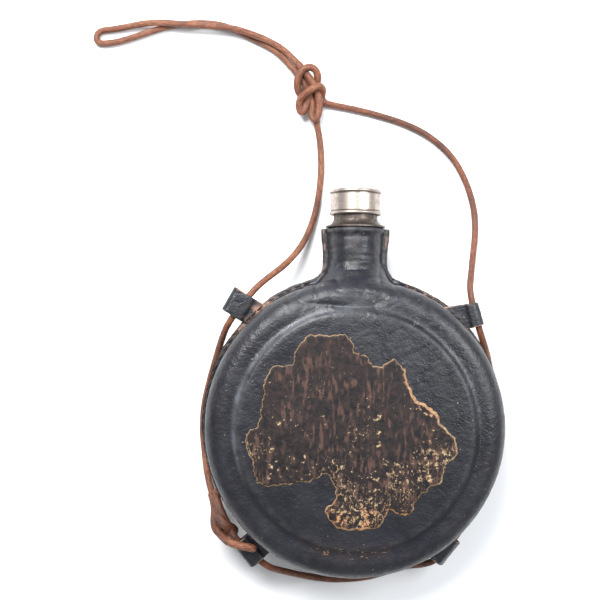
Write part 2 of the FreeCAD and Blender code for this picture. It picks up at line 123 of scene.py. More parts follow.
def noise(points, size, seed):
    """Smooth noise from -1 to 1; size is one cell, in the unit of the points."""
    scaled = np.asarray(points, dtype=float) / np.asarray(size, dtype=float)
    cell = np.floor(scaled).astype(np.int64)
    local = scaled - cell
    fade = local * local * (3 - 2 * local)
    total = np.zeros(len(scaled))
    for corner in itertools.product((0, 1), repeat=3):
        weight = np.prod(np.where(corner, fade, 1 - fade), axis=1)
        total += weight * lattice_value(cell + np.array(corner), seed)
    return total


def crease(points, size, seed, sharpness):
    """Thin lines, 1 on the line and falling to 0 beside it."""
    return (1 - np.abs(noise(points, size, seed))) ** sharpness


def step(values, low, high):
    """0 below low, 1 above high, smooth between; works downwards if high < low."""
    part = np.clip((values - low) / (high - low), 0, 1)
    return part * part * (3 - 2 * part)


def spots(points, places):
    """Sum of soft round spots, each (x, y, radius, strength)."""
    total = np.zeros(len(points))
    for x, y, radius, strength in places:
        away = np.hypot(points[:, 0] - x, points[:, 1] - y) / radius
        total += strength * np.exp(-away * away)
    return total


# ---------------------------------------------------------------- mesh helpers
def link_mesh(name, mesh):
    piece = bpy.data.objects.new(name, mesh)
    bpy.context.collection.objects.link(piece)
    return piece


def mesh_piece(name, points, faces):
    mesh = bpy.data.meshes.new(name)
    mesh.from_pydata((np.asarray(points) * MM).tolist(), [], faces)
    mesh.shade_smooth()
    return link_mesh(name, mesh)


def read_points(mesh):
    data = np.empty(len(mesh.vertices) * 3, dtype=np.float32)
    mesh.vertices.foreach_get("co", data)
    return data.reshape(-1, 3).astype(float) / MM


def write_points(mesh, points):
    mesh.vertices.foreach_set("co", (points * MM).astype(np.float32).ravel())
    mesh.update()


def read_normals(mesh):
    data = np.empty(len(mesh.vertices) * 3, dtype=np.float32)
    mesh.vertex_normals.foreach_get("vector", data)
    return data.reshape(-1, 3).astype(float)


def add_attribute(mesh, name, values):
    values = np.asarray(values, dtype=np.float32)
    kind = "FLOAT_VECTOR" if values.ndim == 2 else "FLOAT"
    layer = mesh.attributes.new(name, kind, "POINT")
    layer.data.foreach_set("vector" if values.ndim == 2 else "value", values.ravel())


def neighbour_average(mesh):
    """Function that gives, at each vertex, the mean of a value over its neighbours."""
    count = len(mesh.vertices)
    pairs = np.empty(len(mesh.edges) * 2, dtype=np.int32)
    mesh.edges.foreach_get("vertices", pairs)
    first, second = pairs.reshape(-1, 2).T
    degree = np.maximum(np.bincount(pairs, minlength=count), 1)

    def average(values):
        if values.ndim == 2:
            return np.stack([average(column) for column in values.T], axis=1)
        ahead = np.bincount(first, values[second], count)
        behind = np.bincount(second, values[first], count)
        return (ahead + behind) / degree

    return average


def relax(points, average, weight, rounds):
    for _ in range(rounds):
        points = points + weight * (average(points) - points)
    return points


def convexity(mesh, average, rounds):
    """0 on flat ground to about 1 on rubbed outer edges."""
    points = read_points(mesh)
    bulge = -np.sum((average(points) - points) * read_normals(mesh), axis=1)
    for _ in range(rounds):
        bulge = average(bulge)
    return np.clip(bulge / max(np.percentile(bulge, 98.5), 1e-6), 0, 1)


def remeshed(node, name, voxel):
    """Even-celled copy of a CAD node, ready to be shaped as leather."""
    piece = link_mesh(name, NODES[node].data.copy())
    remesh = piece.modifiers.new("remesh", "REMESH")
    remesh.mode = "VOXEL"
    remesh.voxel_size = voxel * MM
    graph = bpy.context.evaluated_depsgraph_get()
    mesh = bpy.data.meshes.new_from_object(piece.evaluated_get(graph))
    piece.modifiers.clear()
    piece.data = mesh
    mesh.shade_smooth()
    mesh.materials.clear()
    return piece


def finish_piece(piece, material, slot, *nodes):
    piece.data.materials.clear()
    piece.data.materials.append(material)
    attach(piece, ROOT)
    if nodes:
        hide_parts(*nodes)
    return piece


# ----------------------------------------------------------------------- tubes
# Rounding of a tube's end: how far past the end, and how wide, in radii.
END_ROUNDING = ((-0.92, 0.30), (-0.76, 0.60), (-0.48, 0.86), (-0.2, 0.97))


def spline_line(route):
    """Points along the smooth NURBS line that a route's control points give."""
    curve = bpy.data.curves.new("route", "CURVE")
    curve.dimensions = "3D"
    curve.resolution_u = 24
    spline = curve.splines.new("NURBS")
    spline.points.add(len(route) - 1)
    for point, place in zip(spline.points, route):
        point.co = (*place, 1)
    spline.order_u = 3
    spline.use_endpoint_u = True
    holder = bpy.data.objects.new("route", curve)
    mesh = bpy.data.meshes.new_from_object(holder)
    line = read_points(mesh)
    bpy.data.meshes.remove(mesh)
    bpy.data.objects.remove(holder)
    bpy.data.curves.remove(curve)
    return line


def evenly_spaced(line, spacing):
    gaps = np.linalg.norm(np.diff(line, axis=0), axis=1)
    along = np.concatenate([[0], np.cumsum(gaps)])
    count = max(int(along[-1] / spacing), 4) + 1
    wanted = np.linspace(0, along[-1], count)
    return np.stack([np.interp(wanted, along, line[:, k]) for k in range(3)], axis=1), wanted


def carried_frames(line):
    """Tangent and two side vectors at each point, without any twist."""
    tangents = np.gradient(line, axis=0)
    tangents /= np.linalg.norm(tangents, axis=1)[:, None]
    side = np.cross(tangents[0], (0, 0, 1))
    side /= np.linalg.norm(side)
    sides = []
    for tangent in tangents:
        side = side - np.dot(side, tangent) * tangent
        side /= np.linalg.norm(side)
        sides.append(side)
    sides = np.array(sides)
    return tangents, sides, np.cross(tangents, sides)


def tube(line, radius, around, spacing, seed, rough):
    """Points, faces and fibre coordinates of one round tube with rounded ends."""
    line, along = evenly_spaced(line, spacing)
    tangents, sides, ups = carried_frames(line)
    turns = np.linspace(0, 2 * math.pi, around, endpoint=False)
    rings = [(0, shift * radius, scale) for shift, scale in END_ROUNDING]
    rings += [(i, 0, 1) for i in range(len(line))]
    rings += [(len(line) - 1, -shift * radius, scale) for shift, scale in reversed(END_ROUNDING)]
    points, fibres = [], []
    for index, shift, scale in rings:
        centre = line[index] + tangents[index] * shift
        place = np.full(around, along[index] + shift)
        probe = np.stack([np.cos(turns) * 2, np.sin(turns) * 2, place], axis=1)
        uneven = 1 + rough * noise(probe, (1.6, 1.6, 7.0), seed)
        uneven += 0.5 * rough * noise(probe, (0.8, 0.8, 2.2), seed + 1)
        reach = (radius * scale * uneven)[:, None]
        circle = np.cos(turns)[:, None] * sides[index] + np.sin(turns)[:, None] * ups[index]
        points.append(centre + circle * reach)
        fibres.append(np.stack([np.cos(turns), np.sin(turns), place], axis=1))
    faces = []
    for ring in range(len(rings) - 1):
        low, high = ring * around, (ring + 1) * around
        for k in range(around):
            after = (k + 1) % around
            faces.append((low + k, low + after, high + after, high + k))
    last = (len(rings) - 1) * around
    faces.append(tuple(reversed(range(around))))
    faces.append(tuple(range(last, last + around)))
    return np.concatenate(points), faces, np.concatenate(fibres), line


def tube_piece(name, lines, radius, around=14, spacing=0.9, seed=1, rough=0.04):
    """One mesh with a tube along each line; returns it and the lines it follows."""
    points, faces, fibres, used = [], [], [], []
    offset = 0
    for number, line in enumerate(lines):
        part, quads, fibre, followed = tube(
            np.asarray(line, dtype=float), radius, around, spacing, seed + 7 * number, rough)
        points.append(part)
        faces += [tuple(index + offset for index in quad) for quad in quads]
        fibres.append(fibre)
        used.append(followed)
        offset += len(part)
    piece = mesh_piece(name, np.concatenate(points), faces)
    add_attribute(piece.data, "fibre", np.concatenate(fibres))
    return piece, used


# ------------------------------------------------------------ material helpers
def add_node(tree, kind, settings=None, **inputs):
    made = tree.nodes.new(kind)
    for key, value in (settings or {}).items():
        setattr(made, key, value)
    for key, value in inputs.items():
        socket = made.inputs[key.replace("_", " ")]
        if isinstance(value, bpy.types.NodeSocket):
            tree.links.new(value, socket)
        else:
            socket.default_value = value
    return made


def new_tree(name):
    material = bpy.data.materials.new(name)
    material.use_nodes = True
    material.node_tree.nodes.clear()
    return material, material.node_tree


def surface(tree, **inputs):
    shader = add_node(tree, "ShaderNodeBsdfPrincipled", None, **inputs)
    add_node(tree, "ShaderNodeOutputMaterial", None, Surface=shader.outputs["BSDF"])


def object_coords(tree):
    return add_node(tree, "ShaderNodeTexCoord").outputs["Object"]


def stretched(tree, vector, scale):
    return add_node(tree, "ShaderNodeMapping", None, Vector=vector, Scale=scale).outputs["Vector"]


def cloud(tree, vector, scale, detail=4.0, distortion=0.0):
    return add_node(
        tree, "ShaderNodeTexNoise", None, Vector=vector, Scale=scale, Detail=detail,
        Distortion=distortion).outputs["Fac"]


def cells(tree, vector, scale):
    return add_node(
        tree, "ShaderNodeTexVoronoi", {"feature": "SMOOTH_F1"}, Vector=vector,
        Scale=scale).outputs["Distance"]


def cracks(tree, vector, scale):
    node = add_node(tree, "ShaderNodeTexVoronoi", {"feature": "DISTANCE_TO_EDGE"},
                    Vector=vector, Scale=scale)
    return node.outputs["Distance"]


def stored(tree, name, output="Fac"):
    return add_node(tree, "ShaderNodeAttribute", {"attribute_name": name}).outputs[output]


def remap(tree, value, low, high, to_low=0.0, to_high=1.0):
    made = add_node(tree, "ShaderNodeMapRange", None, Value=value)
    for socket, number in zip(("From Min", "From Max", "To Min", "To Max"),
                              (low, high, to_low, to_high)):
        made.inputs[socket].default_value = number
    return made.outputs["Result"]


def calc(tree, operation, first, second):
    made = add_node(tree, "ShaderNodeMath", {"operation": operation})
    for socket, value in zip(made.inputs, (first, second)):
        if isinstance(value, bpy.types.NodeSocket):
            tree.links.new(value, socket)
        else:
            socket.default_value = value
    return made.outputs["Value"]


def mix(tree, factor, first, second):
    made = add_node(tree, "ShaderNodeMix", {"data_type": "RGBA"})
    for socket, value in zip((made.inputs[0], made.inputs[6], made.inputs[7]),
                             (factor, first, second)):
        if isinstance(value, bpy.types.NodeSocket):
            tree.links.new(value, socket)
        else:
            socket.default_value = value if isinstance(value, float) else (*value, 1.0)
    return made.outputs[2]


def bump(tree, height, strength, distance, below=None):
    made = add_node(
        tree, "ShaderNodeBump", None, Height=height, Strength=strength, Distance=distance * MM)
    if below is not None:
        tree.links.new(below, made.inputs["Normal"])
    return made.outputs["Normal"]


# ------------------------------------------------------------------- materials
BLACK_DEEP, BLACK_PALE = (0.0036, 0.0036, 0.0062), (0.0090, 0.0090, 0.0138)
BLACK_BLUISH = (0.0072, 0.0080, 0.0165)
# pale grey of the painted highlight on the step of the raised disc
CREST_HIGHLIGHT_GREY = (0.150, 0.154, 0.172)
# grey of rubbed edges, also used as a painted sheen down the neck
RUBBED_AND_SHEEN_GREY = (0.078, 0.070, 0.068)
SCUFF_HAZE, SCUFF_CHIP = (0.050, 0.030, 0.022), (0.300, 0.170, 0.105)
RAW_DARK, RAW_PALE = (0.150, 0.070, 0.044), (0.500, 0.310, 0.215)
DUST = (0.30, 0.24, 0.18)


def leather_material():
    """Black waxed leather, rubbed grey on edges and torn back to tan where raw, with painted
    highlights on the disc's step and down the neck.
    """
    material, tree = new_tree("black_leather")
    place = object_coords(tree)
    broad = cloud(tree, place, 28.0, 3.0)
    fine = cloud(tree, place, 420.0, 6.0)
    patchy = cloud(tree, place, 160.0, 5.0, 0.6)
    colour = mix(tree, remap(tree, broad, 0.35, 0.65), BLACK_DEEP, BLACK_PALE)
    bluish = remap(tree, cloud(tree, place, 20.0, 3.0), 0.50, 0.66, 0.0, 0.40)
    colour = mix(tree, bluish, colour, BLACK_BLUISH)
    # painted highlight on the disc's step, broken up in patches
    crest_highlight = remap(tree, patchy, 0.30, 0.60, 0.35, 0.9)
    crest_highlight = calc(tree, "MULTIPLY", stored(tree, "crest_highlight"), crest_highlight)
    colour = mix(tree, calc(tree, "MULTIPLY", crest_highlight, 0.75), colour, CREST_HIGHLIGHT_GREY)
    # rubbed edges, plus a painted sheen strip down the top of the neck
    rub_and_sheen = calc(tree, "MULTIPLY", stored(tree, "wear_and_sheen"), remap(tree, patchy, 0.40, 0.62))
    colour = mix(tree, calc(tree, "MULTIPLY", rub_and_sheen, 0.65), colour, RUBBED_AND_SHEEN_GREY)
    chips = cloud(tree, stretched(tree, place, (0.7, 1.0, 1.0)), 640.0, 4.0, 0.8)
    chips = calc(tree, "ADD", chips, calc(tree, "MULTIPLY", stored(tree, "scuff"), 0.195))
    haze = calc(tree, "MULTIPLY", stored(tree, "scuff"), 0.25)
    colour = mix(tree, haze, colour, SCUFF_HAZE)
    colour = mix(tree, remap(tree, chips, 0.765, 0.81, 0.0, 0.9), colour, SCUFF_CHIP)
    raw = calc(tree, "MULTIPLY", stored(tree, "raw"), remap(tree, patchy, 0.34, 0.56))
    colour = mix(tree, raw, colour, mix(tree, patchy, RAW_DARK, RAW_PALE))
    dots = remap(tree, cloud(tree, place, 520.0, 1.0), 0.765, 0.80)
    colour = mix(tree, calc(tree, "MULTIPLY", dots, 0.55), colour, DUST)
    gloss = remap(tree, cloud(tree, place, 90.0, 7.0, 0.4), 0.3, 0.7, 0.30, 0.52)
    gloss = calc(tree, "ADD", gloss, calc(tree, "MULTIPLY", raw, 0.35))
    gloss = calc(tree, "ADD", gloss, calc(tree, "MULTIPLY", stored(tree, "wear_and_sheen"), 0.22))
    turned = add_node(tree, "ShaderNodeMapping", None, Vector=place,
                      Rotation=(0, 0, math.radians(35)), Scale=(0.6, 1.0, 1.0)).outputs["Vector"]
    normal = bump(tree, cells(tree, place, 1000.0), 0.45, 0.25)
    normal = bump(tree, fine, 0.75, 0.34, normal)
    normal = bump(tree, cloud(tree, turned, 560.0, 3.0, 0.6), 0.40, 0.30, normal)
    normal = bump(tree, cloud(tree, place, 150.0, 6.0, 0.8), 0.35, 0.55, normal)
    surface(tree, Base_Color=colour, Roughness=gloss, Normal=normal, Specular_IOR_Level=0.50,
            Coat_Weight=0.06, Coat_Roughness=0.25)
    return material


LACE_DARK, LACE_BROWN = (0.060, 0.018, 0.009), (0.215, 0.062, 0.024)
LACE_ORANGE, LACE_PALE = (0.335, 0.138, 0.062), (0.380, 0.190, 0.105)
LACE_GROOVE = (0.040, 0.014, 0.008)
THREAD_DARK, THREAD_PALE = (0.012, 0.009, 0.008), (0.055, 0.036, 0.025)


def lace_material():
    """Round leather lace: orange-brown with darker and paler rubbed stretches; the lower knot is
    also darkened as painted shade.
    """
    material, tree = new_tree("lace_leather")
    fibre = stored(tree, "fibre", "Vector")
    strands = cloud(tree, stretched(tree, fibre, (2.6, 2.6, 0.22)), 1.6, 5.0)
    blotch = cloud(tree, stretched(tree, fibre, (0.6, 0.6, 0.16)), 1.0, 4.0)
    tone = calc(tree, "ADD", stored(tree, "tone"), remap(tree, blotch, 0.3, 0.7, -0.22, 0.22))
    colour = mix(tree, remap(tree, tone, 0.0, 0.5), LACE_DARK, LACE_BROWN)
    colour = mix(tree, remap(tree, tone, 0.5, 1.0), colour, LACE_ORANGE)
    colour = mix(tree, remap(tree, strands, 0.60, 0.38, 0.0, 0.80), colour, LACE_GROOVE)
    grain = cloud(tree, stretched(tree, fibre, (3.2, 3.2, 1.5)), 2.4, 5.0)
    colour = mix(tree, remap(tree, grain, 0.56, 0.70, 0.0, 0.55), colour, LACE_PALE)
    gloss = remap(tree, strands, 0.3, 0.7, 0.62, 0.44)
    normal = bump(tree, strands, 0.80, 0.50)
    normal = bump(tree, grain, 0.60, 0.30, normal)
    surface(tree, Base_Color=colour, Roughness=gloss, Normal=normal)
    return material


def thread_material():
    """Waxed thread, dark with a twist that shows."""
    material, tree = new_tree("thread")
    fibre = stored(tree, "fibre", "Vector")
    twist = cloud(tree, stretched(tree, fibre, (1.5, 1.5, 2.5)), 2.0, 3.0, 0.5)
    colour = mix(tree, remap(tree, twist, 0.35, 0.65), THREAD_DARK, THREAD_PALE)
    normal = bump(tree, twist, 0.5, 0.15)
    surface(tree, Base_Color=colour, Roughness=0.6, Normal=normal)
    return material


SHEET_DARK, SHEET_PALE = (0.0060, 0.0048, 0.0058), (0.0260, 0.0165, 0.0150)
SHEET_WORN = (0.120, 0.062, 0.045)
GILT_DULL, GILT_PALE = (0.120, 0.060, 0.032), (0.400, 0.290, 0.165)
GILT_ORANGE = (0.360, 0.175, 0.078)


def label_material():
    """Worn dark brown sheet with gilt at its torn edge and in flecks."""
    material, tree = new_tree("label")
    place = object_coords(tree)
    ragged = cloud(tree, place, 620.0, 6.0, 0.5)
    broad = cloud(tree, place, 75.0, 3.0)
    nicks = cloud(tree, stretched(tree, place, (1.0, 0.55, 1.0)), 760.0, 3.0, 1.2)
    patch = cloud(tree, place, 330.0, 8.0, 0.6)
    streak = cloud(tree, stretched(tree, place, (1.0, 0.26, 1.0)), 500.0, 6.0)
    colour = mix(tree, remap(tree, patch, 0.35, 0.65), SHEET_DARK, SHEET_PALE)
    worn = calc(tree, "MULTIPLY", remap(tree, streak, 0.525, 0.62), remap(tree, broad, 0.38, 0.54))
    colour = mix(tree, calc(tree, "MULTIPLY", worn, 0.52), colour, SHEET_WORN)
    edge = calc(tree, "ADD", stored(tree, "rim"), remap(tree, ragged, 0.3, 0.7, -0.5, 0.5))
    edge = calc(tree, "SUBTRACT", edge, stored(tree, "thick"))
    rim = remap(tree, edge, 0.62, 0.36, 0.0, 0.95)
    gilt = calc(tree, "ADD", stored(tree, "gilt"), remap(tree, patch, 0.3, 0.7, -0.5, 0.5))
    fleck = calc(tree, "ADD", gilt, remap(tree, ragged, 0.3, 0.7, -0.3, 0.3))
    fleck = remap(tree, fleck, 0.60, 0.78)
    scratch = calc(tree, "ADD", nicks, calc(tree, "MULTIPLY", stored(tree, "worn"), 0.16))
    bent = calc(tree, "ADD", cracks(tree, place, 210.0), remap(tree, ragged, 0.3, 0.7, -0.03, 0.03))
    veins = calc(tree, "MULTIPLY", remap(tree, bent, 0.030, 0.008), remap(tree, patch, 0.50, 0.58))
    veins = calc(tree, "MULTIPLY", veins, remap(tree, stored(tree, "worn"), 0.45, 0.9, 0.0, 0.8))
    flecks = calc(tree, "MAXIMUM", fleck, remap(tree, scratch, 0.735, 0.79))
    gold = calc(tree, "MAXIMUM", rim, calc(tree, "MAXIMUM", flecks, veins))
    hue = mix(tree, remap(tree, ragged, 0.35, 0.65), GILT_DULL, GILT_PALE)
    hue = mix(tree, stored(tree, "orange"), hue, GILT_ORANGE)
    colour = mix(tree, gold, colour, hue)
    gloss = remap(tree, patch, 0.3, 0.7, 0.55, 0.75)
    normal = bump(tree, calc(tree, "ADD", patch, calc(tree, "MULTIPLY", gold, -0.5)), 0.6, 0.30)
    normal = bump(tree, ragged, 0.3, 0.15, normal)
    surface(tree, Base_Color=colour, Roughness=gloss, Normal=normal, Specular_IOR_Level=0.26)
    return material


# dark brown of the bands at the cap's beads: painted shade with some grime
GRIME_AND_SHADE = (0.090, 0.070, 0.058)
GLASS_DEEP, GLASS_PALE = (0.62, 0.78, 0.68), (0.74, 0.88, 0.80)
CORK_PALE, CORK_DARK, CORK_PIT = (0.50, 0.31, 0.16), (0.34, 0.19, 0.09), (0.09, 0.045, 0.022)


def metal_material(name, bright, dull, smooth, rough, metallic, grime_and_shade_heights=()):
    """Turned sheet metal with tarnish, rings and scratches; dark bands of grime and painted shade
    lie at the given heights.
    """
    material, tree = new_tree(name)
    place = object_coords(tree)
    tarnish = cloud(tree, place, 420.0, 8.0, 0.6)
    rings = cloud(tree, stretched(tree, place, (0.05, 1.0, 0.05)), 1500.0, 3.0)
    scratches = cloud(tree, stretched(tree, place, (1.0, 0.10, 1.0)), 700.0, 4.0, 0.3)
    colour = mix(tree, remap(tree, tarnish, 0.34, 0.72), bright, dull)
    colour = mix(tree, remap(tree, scratches, 0.60, 0.70, 0.0, 0.5), colour, dull)
    speckle = cloud(tree, place, 1500.0, 4.0)
    colour = mix(tree, remap(tree, speckle, 0.50, 0.66, 0.0, 0.45), colour, dull)
    along = add_node(tree, "ShaderNodeSeparateXYZ", None, Vector=place).outputs["Y"]
    # painted shade along each given height, with some grime
    for line in grime_and_shade_heights:
        apart = calc(tree, "ABSOLUTE", calc(tree, "SUBTRACT", along, line * MM), 0.0)
        grime_and_shade = remap(tree, apart, 0.75 * MM, 0.20 * MM, 0.0, 0.80)
        colour = mix(tree, grime_and_shade, colour, GRIME_AND_SHADE)
    gloss = remap(tree, tarnish, 0.35, 0.65, smooth, rough)
    normal = bump(tree, rings, 0.20, 0.05)
    normal = bump(tree, speckle, 0.30, 0.08, normal)
    normal = bump(tree, scratches, 0.25, 0.08, normal)
    surface(tree, Base_Color=colour, Roughness=gloss, Normal=normal, Metallic=metallic)
    return material


def glass_material():
    """Greenish bottle glass with faint waves."""
    material, tree = new_tree("glass")
    place = object_coords(tree)
    seeds = cloud(tree, place, 90.0, 3.0)
    colour = mix(tree, remap(tree, seeds, 0.3, 0.7), GLASS_DEEP, GLASS_PALE)
    surface(tree, Base_Color=colour, Roughness=0.08, IOR=1.5, Transmission_Weight=0.9,
            Normal=bump(tree, seeds, 0.12, 0.4))
    return material


def cork_material():
    """Cork with grains and dark pits."""
    material, tree = new_tree("cork")
    place = object_coords(tree)
    grains = cells(tree, place, 800.0)
    pits = cloud(tree, place, 900.0, 4.0)
    colour = mix(tree, remap(tree, grains, 0.1, 0.6), CORK_PALE, CORK_DARK)
    colour = mix(tree, remap(tree, pits, 0.62, 0.70), colour, CORK_PIT)
    surface(tree, Base_Color=colour, Roughness=0.85, Normal=bump(tree, pits, 0.6, 0.3))
    return material


LEATHER = leather_material()
LACE = lace_material()
THREAD = thread_material()
LABEL = label_material()

# ----------------------------------------------------------------------- laces
# Routes are in metres. They are the points of the solid laces in the frame, apart from
# the carrying loop's last three and the short tail, which follow the photograph.
LACE_LEFT = [
    (-0.0255, 0.1885, 0.0055), (-0.0223, 0.177, 0.003), (-0.0199, 0.163, 0.002),
    (-0.0194, 0.147, 0.0021), (-0.0212, 0.131, 0.002), (-0.0246, 0.117, 0.003),
    (-0.0305, 0.1035, 0.0075), (-0.0395, 0.0925, 0.015), (-0.0495, 0.0845, 0.0218),
    (-0.0578, 0.0774, 0.0264), (-0.0724, 0.0584, 0.0262), (-0.0773, 0.0472, 0.0155),
    (-0.0815, 0.0345, 0.0065), (-0.0853, 0.0215, 0.0024), (-0.0884, 0.008, 0.002),
    (-0.0892, -0.006, 0.0021), (-0.0876, -0.02, 0.0026), (-0.0856, -0.0325, 0.007),
    (-0.082, -0.0435, 0.0135), (-0.0776, -0.0528, 0.0185), (-0.0748, -0.059, 0.0195),
]
LACE_RIGHT = [
    (-0.0252, 0.1911, 0.0045), (-0.0125, 0.1884, 0.0024), (0.0008, 0.1861, 0.002),
    (0.014, 0.1829, 0.0021), (0.0275, 0.179, 0.002), (0.04, 0.1737, 0.0021),
    (0.051, 0.1664, 0.002), (0.0605, 0.1566, 0.0021), (0.0678, 0.1432, 0.002),
    (0.0725, 0.128, 0.0022), (0.0732, 0.113, 0.0038), (0.0708, 0.0998, 0.0098),
    (0.0684, 0.0886, 0.0184), (0.0659, 0.0766, 0.0263), (0.0726, 0.0534, 0.0263),
    (0.0772, 0.044, 0.0188), (0.0814, 0.0328, 0.0104), (0.0848, 0.0196, 0.0034),
    (0.0866, 0.005, 0.002), (0.0868, -0.0105, 0.0021), (0.0838, -0.0265, 0.0022),
    (0.0782, -0.0406, 0.0056), (0.071, -0.0536, 0.0122), (0.0626, -0.0643, 0.0174),
    (0.0502, -0.0801, 0.0172), (0.0426, -0.0842, 0.0118), (0.033, -0.0868, 0.0048),
    (0.022, -0.0915, 0.0021), (0.009, -0.095, 0.0021), (-0.006, -0.0964, 0.002),
    (-0.0185, -0.0952, 0.0034), (-0.0296, -0.0919, 0.0084), (-0.0403, -0.0874, 0.0164),
    (-0.05, -0.0822, 0.0254), (-0.068, -0.0652, 0.0262), (-0.0766, -0.0586, 0.0206),
]
LACE_CARRY = [
    (-0.0296, 0.2068, 0.0064), (-0.0374, 0.2164, 0.0048), (-0.047, 0.2239, 0.0049),
    (-0.06, 0.2291, 0.0062), (-0.0735, 0.2332, 0.0064), (-0.088, 0.2343, 0.0062),
    (-0.103, 0.2349, 0.0064), (-0.1175, 0.2362, 0.006), (-0.131, 0.2353, 0.0036),
    (-0.1435, 0.2328, 0.0021), (-0.155, 0.2317, 0.002), (-0.1557, 0.2236, 0.0021),
    (-0.144, 0.2246, 0.002), (-0.1315, 0.2284, 0.0021), (-0.118, 0.2334, 0.002),
    (-0.1035, 0.2365, 0.0021), (-0.089, 0.2373, 0.002), (-0.075, 0.2348, 0.0021),
    (-0.0618, 0.228, 0.002), (-0.0500, 0.2228, 0.0021), (-0.0408, 0.2146, 0.0024),
    (-0.0332, 0.2054, 0.0040),
]
TAIL_SHORT = [(-0.0744, -0.0580, 0.021), (-0.0768, -0.0497, 0.0204), (-0.0794, -0.0414, 0.0172)]
TAIL_LONG = [
    (-0.077, -0.0636, 0.0226), (-0.0724, -0.0668, 0.0302), (-0.0648, -0.0686, 0.034),
    (-0.0564, -0.07, 0.0334),
]
# Windings of the two tied knots, which stand for two closed solids.
UPPER_KNOT = [
    [(-0.0336, 0.2117, 0.0057), (-0.0294, 0.2065, 0.0064), (-0.0252, 0.2005, 0.0068),
     (-0.0227, 0.1954, 0.0070), (-0.0212, 0.190, 0.0072), (-0.0215, 0.1846, 0.0070),
     (-0.0224, 0.1802, 0.0065), (-0.0240, 0.1786, 0.006), (-0.0255, 0.1812, 0.006),
     (-0.0252, 0.1864, 0.0057), (-0.0252, 0.1920, 0.0046), (-0.0262, 0.1972, 0.0035)],
    [(-0.028, 0.1918, 0.0035), (-0.0318, 0.193, 0.0046), (-0.0348, 0.1977, 0.0066),
     (-0.0342, 0.2036, 0.0082), (-0.0318, 0.2082, 0.0087), (-0.0272, 0.2100, 0.0087),
     (-0.0234, 0.2082, 0.0080), (-0.0220, 0.2044, 0.0065), (-0.0230, 0.2004, 0.0045),
     (-0.0230, 0.196, 0.0034), (-0.0234, 0.190, 0.0034), (-0.0239, 0.1845, 0.0042),
     (-0.0226, 0.1785, 0.0031)],
    [(-0.0262, 0.1951, 0.005), (-0.0284, 0.1901, 0.006), (-0.0297, 0.1856, 0.0065),
     (-0.0310, 0.1830, 0.0065), (-0.0326, 0.1838, 0.0063), (-0.0335, 0.1875, 0.0070),
     (-0.0321, 0.1915, 0.0087), (-0.0287, 0.1942, 0.0102), (-0.0251, 0.1967, 0.0108),
     (-0.0216, 0.1982, 0.0100), (-0.0192, 0.1970, 0.0080), (-0.0196, 0.1942, 0.0058),
     (-0.0202, 0.1920, 0.0044), (-0.0186, 0.1898, 0.0032)],
    [(-0.0362, 0.2092, 0.0032), (-0.0332, 0.2054, 0.0040), (-0.0296, 0.2000, 0.0036),
     (-0.0275, 0.1955, 0.0030)],
]
LOWER_KNOT = [
    [(-0.0820, -0.0440, 0.0138), (-0.0799, -0.0491, 0.0172), (-0.0796, -0.0537, 0.0203),
     (-0.0799, -0.0579, 0.0223), (-0.0788, -0.0620, 0.0228), (-0.0768, -0.0638, 0.0236),
     (-0.0742, -0.0654, 0.0272), (-0.0709, -0.0672, 0.0309)],
    [(-0.0615, -0.0715, 0.0262), (-0.0663, -0.0676, 0.0266), (-0.0695, -0.0624, 0.0258),
     (-0.0722, -0.0576, 0.0247), (-0.0754, -0.0524, 0.0234), (-0.0776, -0.0477, 0.0208),
     (-0.0790, -0.0436, 0.0182)],
    [(-0.0753, -0.0524, 0.021), (-0.0770, -0.0535, 0.024), (-0.0747, -0.0560, 0.0262),
     (-0.0714, -0.0586, 0.0267), (-0.0686, -0.0604, 0.0250), (-0.0674, -0.0630, 0.021),
     (-0.069, -0.0656, 0.0182), (-0.0744, -0.0649, 0.0170), (-0.0789, -0.0598, 0.0172),
     (-0.0786, -0.0544, 0.019), (-0.076, -0.052, 0.020)],
    [(-0.0790, -0.0530, 0.0205), (-0.0764, -0.0556, 0.0255), (-0.0730, -0.0586, 0.0276),
     (-0.0706, -0.0620, 0.0262), (-0.0728, -0.0645, 0.0232)],
    [(-0.0785, -0.0470, 0.0175), (-0.0774, -0.0515, 0.0222), (-0.0760, -0.0562, 0.0240),
     (-0.0758, -0.0612, 0.0226)],
]
LACE_D = 3.8
KNOT_R = 2.25            # the pulled lace is drawn wider where it is tied
LACE_AROUND = 16
LACE_SPACING = 0.8


def lace_piece(name, routes, tone, seed, nodes, radius=LACE_D / 2):
    piece, lines = tube_piece(
        name, [spline_line(route) for route in routes], radius, seed=seed,
        around=LACE_AROUND, spacing=LACE_SPACING)
    points = read_points(piece.data)
    drift = 0.20 * noise(points, 21.0, seed) + 0.10 * noise(points, 6.0, seed + 1)
    add_attribute(piece.data, "tone", np.clip(tone + drift, 0, 1))
    finish_piece(piece, LACE, "lace_leather", *nodes)
    return piece, lines[0] * MM


left_lace, left_line = lace_piece("left_lace", [LACE_LEFT], 0.56, 11, ["lace_left"])
right_lace, right_line = lace_piece("right_lace", [LACE_RIGHT], 0.37, 12, ["lace_right"])
carry_lace, carry_line = lace_piece("carry_lace", [LACE_CARRY], 0.62, 13, ["lace_carry_loop"])
short_tail, _ = lace_piece("short_tail", [TAIL_SHORT], 0.55, 14, ["lace_tail_short"])
long_tail, _ = lace_piece("long_tail", [TAIL_LONG], 0.74, 15, ["lace_tail_long"], KNOT_R)
upper_tie, _ = lace_piece("upper_tie", UPPER_KNOT, 0.50, 16, ["upper_knot"], KNOT_R)
# the lower knot's low tone is partly its own darker leather and partly painted shade for the lower
# left
lower_tie, _ = lace_piece("lower_tie", LOWER_KNOT, 0.16, 17, ["lower_knot"], KNOT_R)

# ---------------------------------------------------------------- leather cover
SEAM_Z = 26.0
FLANGE_R = 87.2
WING_START_Y = 80.0
# Height along the neck and half the flange's width there.
WING_HALF = ((80.0, 34.0), (83.45, 25.3), (88.0, 20.6), (92.0, 18.9), (97.0, 18.8), (112.6, 20.2))
